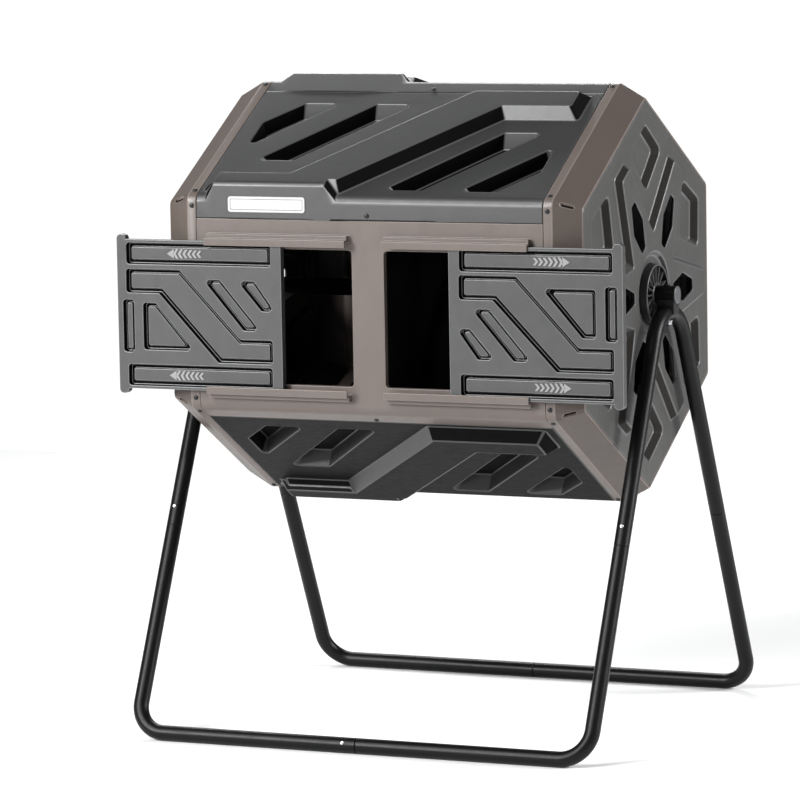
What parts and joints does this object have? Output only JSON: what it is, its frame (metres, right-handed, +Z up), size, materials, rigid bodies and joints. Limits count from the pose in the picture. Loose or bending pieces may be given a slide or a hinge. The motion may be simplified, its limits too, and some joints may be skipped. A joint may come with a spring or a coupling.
{
  "type": "compost tumbler",
  "caption": "Dual-chamber compost tumbler: a hexagonal moulded barrel with two sliding doors, turning on a steel axle in a bent-tube stand.",
  "frame": {"origin": "ground level under the middle of the stand", "axes": "+X along the axle to the right-hand end as seen from the doors, -Y towards the door side, +Z up"},
  "size_m": [0.802, 0.6972, 0.9667],
  "materials": {
    "black_powder_coat": "fine textured satin black",
    "grey_cap": "satin",
    "black_moulding": "satin",
    "zinc_steel": "zinc plated",
    "dark_steel": "blackened",
    "charcoal_plastic": "fine moulded grain, satin",
    "taupe_plastic": "fine moulded grain, satin",
    "plate_white": "semi-gloss",
    "door_plastic": "fine moulded grain, satin"
  },
  "bodies": {
    "stand": {"left_upper_tube": "black_powder_coat", "right_upper_tube": "black_powder_coat", "front_left_tube": "black_powder_coat", "front_right_tube": "black_powder_coat", "back_left_tube": "black_powder_coat", "back_right_tube": "black_powder_coat", "spring_buttons": "dark_steel", "axle_tube": "black_powder_coat", "left_axle_cap": "grey_cap", "right_axle_cap": "grey_cap", "left_saddle": "black_moulding", "right_saddle": "black_moulding", "axle_bolts": "dark_steel", "axle_nuts": "zinc_steel"},
    "barrel": {"front_panel": "taupe_plastic", "upper_front_panel": "charcoal_plastic", "upper_back_panel": "charcoal_plastic", "back_panel": "charcoal_plastic", "lower_back_panel": "charcoal_plastic", "lower_front_panel": "charcoal_plastic", "left_end_ring": "taupe_plastic", "right_end_ring": "taupe_plastic", "left_end_panel": "charcoal_plastic", "right_end_panel": "charcoal_plastic", "left_hub": "black_moulding", "right_hub": "black_moulding", "divider_panel": "black_moulding", "name_plate": "plate_white", "lip_screws": "dark_steel", "left_ring_screws": "dark_steel", "right_ring_screws": "dark_steel"},
    "left_door": {"left_door": "door_plastic"},
    "right_door": {"right_door": "door_plastic"}
  },
  "joints": [
    {"name": "barrel_spin", "type": "hinge", "parent": "stand", "child": "barrel", "pos_m": [0, 0, 0.64557], "axis": [-1, 0, 0], "range_deg": [-27, 213]},
    {"name": "left_door_slide", "type": "slide", "parent": "barrel", "child": "left_door", "axis": [-1, 0, 0], "range_m": [-0.118, 0.068]},
    {"name": "right_door_slide", "type": "slide", "parent": "barrel", "child": "right_door", "axis": [1, 0, 0], "range_m": [-0.118, 0.068]}
  ]
}
